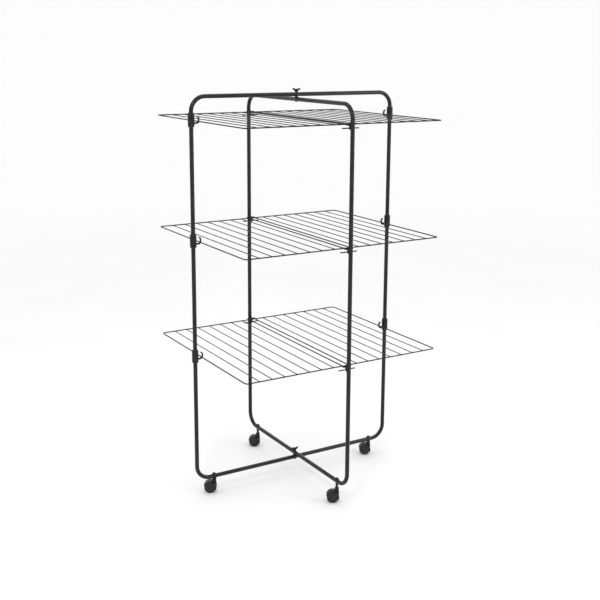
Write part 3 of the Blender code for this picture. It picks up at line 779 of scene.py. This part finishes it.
def saddle_spacer(low_z, high_z, tube_z):
    """A washer between two crossing tubes, about Z. The face on the tube it rides follows that tube, z =
    tube z +- sqrt(R^2 - d^2), where d is the distance from the tube's axis, and the other face is flat."""
    inner, outer, columns = BOLT_R + HAIR, 0.0066, 72
    turn = np.arange(columns) * TAU / columns
    on_low = tube_z < low_z
    rings = []
    corners = [(inner, 0), (inner, 1), (inner + 0.0004, 1), (outer - 0.0005, 1), (outer, 0.9), (outer, 0.1),
               (outer - 0.0005, 0), (inner + 0.0004, 0)]
    for radius, flat in corners:
        off = radius * np.cos(turn)
        reach = TUBE_R + HAIR
        bend = np.sqrt(np.clip(reach**2 - off**2, 0, None))
        saddle = tube_z + bend if on_low else tube_z - bend
        level = high_z if on_low else low_z
        top, bottom = (level, saddle) if on_low else (saddle, level)
        height = bottom + (top - bottom) * flat
        rings.append(np.stack([radius * np.cos(turn), radius * np.sin(turn), height], -1))
    return solid(np.stack(rings), None, ring=True)


inner, outer = loops["inner_frame"], loops["outer_frame"]
for name, lower_tube_z in (("top", inner["top"]), ("bottom", outer["base"])):
    low, high = node_box(f"{name}_pivot_bolt")
    bolt = pivot_bolt(lower_tube_z - TUBE_R - HAIR, high[2])
    piece(f"{name}_pivot_bolt", [bolt], BLACK_ZINC, sharp=50)
    low, high = node_box(f"{name}_pivot_spacer")
    spacer = saddle_spacer(low[2], high[2], inner["top"] if name == "top" else inner["base"])
    piece(f"{name}_pivot_spacer", [spacer], MOULDED_BLACK)
    low, high = node_box(f"{name}_wing_nut")
    place = Matrix.Translation((0, 0, low[2])) @ turn_z(WING_ANGLE[name])
    piece(f"{name}_wing_nut", [wing_nut()], MOULDED_BLACK, place)


# ---------------------------------------------------------------- casters


def caster_stem(low_z, collar_z, tip):
    """A turned stem with a collar, with one shallow groove round it above the collar and a chamfered tip."""
    profile = eased([
        (0.0003, low_z), (STEM_R - 0.0006, low_z), (STEM_R, low_z + 0.0008), (STEM_R, collar_z - 0.0029),
        (COLLAR_R, collar_z - 0.0029), (COLLAR_R, collar_z), (STEM_R + 0.0008, collar_z + 0.0002),
        (STEM_R, collar_z + 0.0012), (STEM_R, collar_z + 0.0030), (STEM_R - 0.0003, collar_z + 0.0033),
        (STEM_R, collar_z + 0.0036), (STEM_R, tip - 0.0012), (STEM_R - 0.0008, tip), (0.0003, tip)], 0.0004)
    return lathe(profile, 40)


def stem_cap():
    """A cap on the tube at the origin, which lies along X: a saddle round its upper side with a thicker
    middle band, and a dome over the stem's end whose foot flares into the saddle."""
    bore = TUBE_R + HAIR
    band = looped([(bore, -0.0065), (bore + 0.0015, -0.0060), (bore + 0.0017, 0), (bore + 0.0015, 0.0060),
                   (bore, 0.0065)], 0.0005)
    wrap = radians(97)
    on_tube = Matrix.Rotation(pi / 2, 4, "Z") @ X_UP
    saddle = moved(arc_shell(band, pi / 2 - wrap, pi / 2 + wrap), on_tube)
    q = np.linspace(0, pi / 2, 14)
    crown = np.stack([0.0049 * np.cos(q) + 0.0002, 0.0098 + 0.0030 * np.sin(q)], -1)
    foot_z = np.linspace(0.0040, 0.0096, 10)
    foot = np.stack([0.0051 + 0.0022 * np.exp(-(foot_z - 0.0060) / 0.0012).clip(0, 1) * (foot_z > 0.0055)
                     + 0.0022 * (foot_z <= 0.0055), foot_z], -1)
    profile = np.concatenate([[(0.0003, 0.0040)], foot, crown])
    return merged([saddle, lathe(profile, 48, 0.5 * np.clip((profile[:, 1] - 0.009) / 0.002, 0, 1))])


def caster_housing(collar_low, hub_z):
    """The hood of a twin-wheel caster about its swivel axis: an arched shell over the wheels, a web between
    them that carries the axle, and a neck that runs down into the hood's outer side."""
    half = HOOD_HALF
    arch = looped([
        (HOOD_IN_R, -half), (HOOD_OUT_R - 0.0010, -half), (HOOD_OUT_R, -half + 0.0020),
        (HOOD_OUT_R, half - 0.0020), (HOOD_OUT_R - 0.0010, half), (HOOD_IN_R, half)], 0.0010)
    hood_arc = (radians(-22), radians(162), radians(3))
    on_hub = Matrix.Translation((-TRAIL, 0, hub_z)) @ Matrix.Rotation(pi / 2, 4, "X")
    hood = moved(arc_shell(arch, *hood_arc), on_hub)
    lips = []
    for side in (-1, 1):
        lip = looped([(HOOD_IN_R - 0.0012, side * half), (HOOD_IN_R + 0.0006, side * half),
                      (HOOD_IN_R + 0.0006, side * (half - 0.0011)),
                      (HOOD_IN_R - 0.0012, side * (half - 0.0009))], 0.0003)
        lips.append(moved(arc_shell(lip, *hood_arc), on_hub))
    web_r, under_hood = 0.0130, HOOD_IN_R + 0.0008
    turn = np.radians(np.arange(0, 360, 6))
    blend_in = 0.5 + 0.5 * np.tanh((np.cos(turn - radians(70)) + 0.05) * 5)
    radius = web_r + (under_hood - web_r) * blend_in
    outline = np.stack([-TRAIL + radius * np.cos(turn), hub_z + radius * np.sin(turn)], -1)
    web = pad(outline, 0.0027, 0.0008)
    foot = hub_z + 0.0180
    top = collar_low - HAIR
    neck = lathe([(0.0003, foot), (NECK_R - 0.0006, foot), (NECK_R - 0.0006, top - 0.0008),
                  (NECK_R - 0.0012, top), (0.0003, top)], 48)
    bend = np.radians(np.linspace(68, 27, 12))
    hooded = np.stack([-TRAIL + under_hood * np.cos(bend), hub_z + under_hood * np.sin(bend)], -1)
    outer_side = smooth_route([(0.0084, hub_z + 0.0128), (0.0078, hub_z + 0.0160), (0.0071, hub_z + 0.0195),
                               (0.0066, top - 0.0020)], 5)
    gusset = pad(np.concatenate([hooded, outer_side, [(0.0010, top - 0.0018), (-0.0040, top - 0.0022)]]),
                 0.0060, 0.0024)
    return merged([hood, web, neck, gusset] + lips)


def caster_wheel(near, far):
    """A wheel about its hub, turning about Y: a crowned tread with two fine grooves, a dished outer face
    with a rim bead, six shallow pockets between spokes, and a hub cap."""
    tread_z = np.linspace(near + 0.0012, far - 0.0022, 26)
    across = (tread_z - tread_z.mean()) / (tread_z[-1] - tread_z[0])
    tread = WHEEL_R - 0.0010 * across**2
    for centre in (-0.22, 0.22):
        tread = tread - 0.00035 * np.exp(-(((across - centre) / 0.035) ** 2))
    face = np.array([
        (0.0187, far - 0.0006), (0.0179, far), (0.0168, far), (0.0162, far - 0.0010), (0.0158, far - 0.0013)])
    dish_r = np.linspace(0.0154, 0.0076, 22)
    dish = np.stack([dish_r, np.full(22, far - 0.0013)], -1)
    hub = np.array([
        (0.0070, far - 0.0012), (0.0066, far - 0.0003), (0.0060, far + 0.0002), (0.0046, far + 0.0005),
        (0.0030, far + 0.0006), (0.0003, far + 0.0006)])
    inner_face = np.array([(0.0040, near), (0.0155, near), (0.0160, near + 0.0005), (0.0180, near + 0.0005),
                           (0.0188, near + 0.0003)])
    bore = np.array([(0.0003, far - 0.0040), (0.0029, far - 0.0040), (0.0029, near + 0.0004), (0.0033, near)])
    profile = np.concatenate([bore, inner_face, np.stack([tread, tread_z], -1), face, dish, hub])
    columns = 120
    turn = np.arange(columns) * TAU / columns
    r = np.broadcast_to(profile[:, :1], (len(profile), columns))
    z = np.broadcast_to(profile[:, 1:], (len(profile), columns)).copy()
    spoke = 0.5 + 0.5 * np.tanh((np.abs(((turn * 6 / TAU) % 1) - 0.5) - 0.13) * -26)
    on_dish = np.exp(-((np.clip(np.abs(r - 0.0115) - 0.0026, 0, None) / 0.0006) ** 2)) * (z > far - 0.0014)
    z -= 0.0011 * on_dish * spoke[None, :]
    wear = np.zeros(len(profile))
    start = len(bore) + len(inner_face)
    wear[start : start + len(tread)] = 0.75
    wear[start + len(tread) : start + len(tread) + 2] = 0.6
    points = np.stack([r * np.cos(turn), r * np.sin(turn), z], -1)
    return moved(solid(points, lengths(profile), wear), Y_UP)


def axle_pin(half):
    profile = eased([(0.0003, -half), (0.0020, -half), (0.0025, -half + 0.0006), (0.0025, half - 0.0006),
                     (0.0020, half), (0.0003, half)], 0.0004)
    return moved(lathe(profile, 32), Y_UP)


housing_high = node_box("caster_housing_left")[1]
wheel_low, wheel_high = node_box("caster_wheel_a_left")
HUB_Z = (wheel_low[2] + wheel_high[2]) / 2
COLLAR_LOW = housing_high[2] + 0.0003
housing, wheel = caster_housing(COLLAR_LOW, HUB_Z), caster_wheel(WHEEL_NEAR, WHEEL_FAR)
cap, axle = stem_cap(), axle_pin(WHEEL_FAR - 0.0034)
for side in SIDES + ENDS:
    low, high = node_box(f"caster_stem_{side}")
    x, y = (low[0] + high[0]) / 2, (low[1] + high[1]) / 2
    along_x = side in SIDES
    tube_z = outer["base"] if along_x else inner["base"]
    stem_place = Matrix.Translation((x, y, 0))
    stem = caster_stem(low[2], COLLAR_LOW + 0.0029, high[2])
    piece(f"caster_stem_{side}", [stem], BLACK_ZINC, stem_place)
    cap_place = Matrix.Translation((x, y, tube_z)) @ turn_z(0 if along_x else pi / 2)
    piece(f"stem_cap_{side}", [cap], MOULDED_BLACK, cap_place)
    swivel = stem_place @ turn_z(HEADING)
    hub = swivel @ Matrix.Translation((-TRAIL, 0, HUB_Z))
    piece(f"caster_housing_{side}", [housing], MOULDED_BLACK, swivel)
    piece(f"wheel_axle_{side}", [axle], BLACK_ZINC, hub)
    piece(f"caster_wheel_a_{side}", [wheel], WHEEL_NYLON, hub)
    piece(f"caster_wheel_b_{side}", [wheel], WHEEL_NYLON, hub @ turn_z(pi))


# ---------------------------------------------------------------- floor, light and camera


def studio_floor():
    """A shallow bowl about Z: flat out to 7 m, then a quarter circle of 5 m up, one smooth sheet whose
    paint gets lighter with the distance from the middle. That lightening is painted light: the lamps light
    the middle most, and the lighter paint further out makes the far floor and wall look as white."""
    flat, wall = 7.0, 5.0
    flat_r = np.concatenate([[0.02], np.linspace(0.5, flat, 14)])
    q = np.linspace(0, pi / 2, 24)[1:]
    radius = np.concatenate([flat_r, flat + wall * np.sin(q)])
    height = np.concatenate([np.zeros(len(flat_r)), wall * (1 - np.cos(q))])
    turn = np.arange(96) * TAU / 96
    points = np.stack([radius[:, None] * np.cos(turn), radius[:, None] * np.sin(turn),
                       np.broadcast_to(height[:, None], (len(radius), 96))], -1)
    index = np.arange(len(radius) * 96).reshape(-1, 96)
    faces = np.stack([index[:-1], np.roll(index[:-1], -1, 1), np.roll(index[1:], -1, 1), index[1:]], -1)
    mesh = bpy.data.meshes.new("studio_floor")
    middle_face = index[0][::-1].tolist()
    mesh.from_pydata(points.reshape(-1, 3).tolist(), [], faces.reshape(-1, 4).tolist() + [middle_face])
    mesh.shade_smooth()
    obj = bpy.data.objects.new("studio_floor", mesh)
    bpy.context.scene.collection.objects.link(obj)
    material = bpy.data.materials.new("pale studio paint")
    material.use_nodes = True
    tree = material.node_tree
    shader = tree.nodes["Principled BSDF"]
    where = add(tree, "TexCoord").outputs["Object"]
    cloud = ramp(tree, noise(tree, where, 1.5, 3.0), 0.3, 0.7)
    near = blend(tree, cloud, (0.88, 0.88, 0.88), (0.90, 0.90, 0.90))
    out = add(tree, "VectorMath", {0: where}, operation="LENGTH").outputs["Value"]
    # painted light: the paint lightens from 2.5 m out to 7 m in place of the lamp light that reaches the
    # middle only
    paint = blend(tree, ramp(tree, out, 2.5, flat), near, (0.97, 0.97, 0.97))
    tree.links.new(paint, shader.inputs["Base Color"])
    shader.inputs["Roughness"].default_value = 0.75
    mesh.materials.append(material)
    obj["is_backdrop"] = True


def softbox(name, at, aim, size, watts):
    data = bpy.data.lights.new(name, "AREA")
    data.shape = "RECTANGLE"
    data.size, data.size_y = size
    data.energy = watts
    lamp = bpy.data.objects.new(name, data)
    lamp.location = at
    lamp.rotation_euler = (Vector(aim) - Vector(at)).to_track_quat("-Z", "Y").to_euler()
    bpy.context.scene.collection.objects.link(lamp)


studio_floor()
softbox("key_softbox", (-2.4, -2.6, 3.6), (0, 0, 0.6), (0.6, 0.5), 34)
softbox("right_strip", (2.6, -3.0, 1.5), (0, 0, 0.7), (0.20, 2.2), 28)
softbox("overhead", (0.4, 0.6, 4.2), (0, 0, 0.5), (1.0, 1.0), 14)

bpy.context.scene.view_settings.view_transform = "Standard"
world = bpy.data.worlds.new("studio_world")
world.use_nodes = True
world.node_tree.nodes["Background"].inputs["Color"].default_value = (1.0, 1.0, 1.0, 1.0)
world.node_tree.nodes["Background"].inputs["Strength"].default_value = 1.0
bpy.context.scene.world = world

CAMERA_AT = (-1.7107, -2.8679, 1.5129)
VIEW_AZIMUTH, LOOK_DOWN, ROLL = radians(-31.358), radians(11.966), radians(0.369)
lens = bpy.data.cameras.new("view_camera")
lens.lens, lens.sensor_width = 59.065, 36.0
lens.shift_x, lens.shift_y = -0.00792, -0.075
camera = bpy.data.objects.new("view_camera", lens)
back = Vector((sin(VIEW_AZIMUTH) * cos(LOOK_DOWN), -cos(VIEW_AZIMUTH) * cos(LOOK_DOWN), sin(LOOK_DOWN)))
right = Vector((cos(VIEW_AZIMUTH), sin(VIEW_AZIMUTH), 0))
up = back.cross(right)
basis = Matrix((right, up, back)).transposed().to_4x4()
camera.matrix_world = Matrix.Translation(CAMERA_AT) @ basis @ Matrix.Rotation(ROLL, 4, "Z")
bpy.context.scene.collection.objects.link(camera)
bpy.context.scene.camera = camera

low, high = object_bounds()
